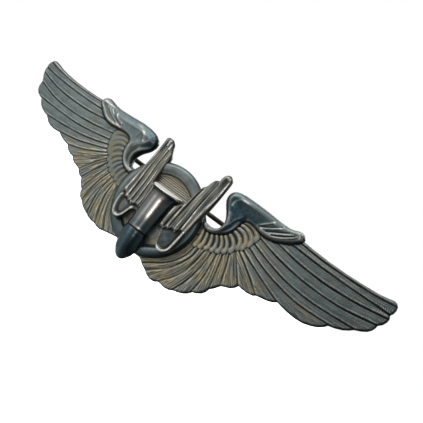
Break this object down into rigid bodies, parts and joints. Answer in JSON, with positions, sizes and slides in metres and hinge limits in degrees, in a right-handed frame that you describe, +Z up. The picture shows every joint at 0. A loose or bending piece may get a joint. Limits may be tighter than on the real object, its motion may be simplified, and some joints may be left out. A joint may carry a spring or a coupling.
{
  "type": "aircrew wings badge",
  "caption": "Bowed three inch wings badge with a round plate, a bullet between small wings, and a hinged pin stem with a locking catch on the back.",
  "frame": {"origin": "middle of the badge at the height of the round plate's centre, on the back plane of the wing plate", "axes": "+X to the viewer's right along the wings, +Z up as worn, the front faces -Y and the cloth side is +Y"},
  "size_m": [0.0758, 0.0109, 0.0208],
  "materials": {
    "wing_silver": "oxidised silver, dark grey with a tan patina in the grooves",
    "plate_silver": "oxidised silver, smooth dark rim, tan ruled field",
    "bullet_silver": "oxidised silver, nearly black on the nose, bright worn rim",
    "small_wing_silver": "oxidised silver, worn bright on the raised edges",
    "solder": "dull solder",
    "finding_metal": "darkened nickel silver",
    "rivet_metal": "darkened nickel silver wire",
    "pin_wire": "dark drawn wire",
    "sleeve_metal": "darkened nickel silver, worn on the tab"
  },
  "bodies": {
    "badge": {"wing_plate": "wing_silver", "disc_solder": "solder", "round_plate": "plate_silver", "device_solder": "solder", "bullet": "bullet_silver", "small_wing_left": "small_wing_silver", "small_wing_right": "small_wing_silver", "joint_solder": "solder", "joint_base": "finding_metal", "joint_rivet": "rivet_metal", "catch_solder": "solder", "catch_base": "finding_metal", "catch_housing": "finding_metal"},
    "pin": {"pin_stem": "pin_wire"},
    "sleeve": {"catch_sleeve": "sleeve_metal"}
  },
  "joints": [
    {"name": "pin_hinge", "type": "hinge", "parent": "badge", "child": "pin", "pos_m": [-0.024, 0.0043, 0.00445], "axis": [0, 0, 1], "range_deg": [0, 110]},
    {"name": "catch_turn", "type": "hinge", "parent": "badge", "child": "sleeve", "pos_m": [0.021, 0.0043, 0.00445], "axis": [-1, 0, 0], "range_deg": [0, 135]}
  ]
}
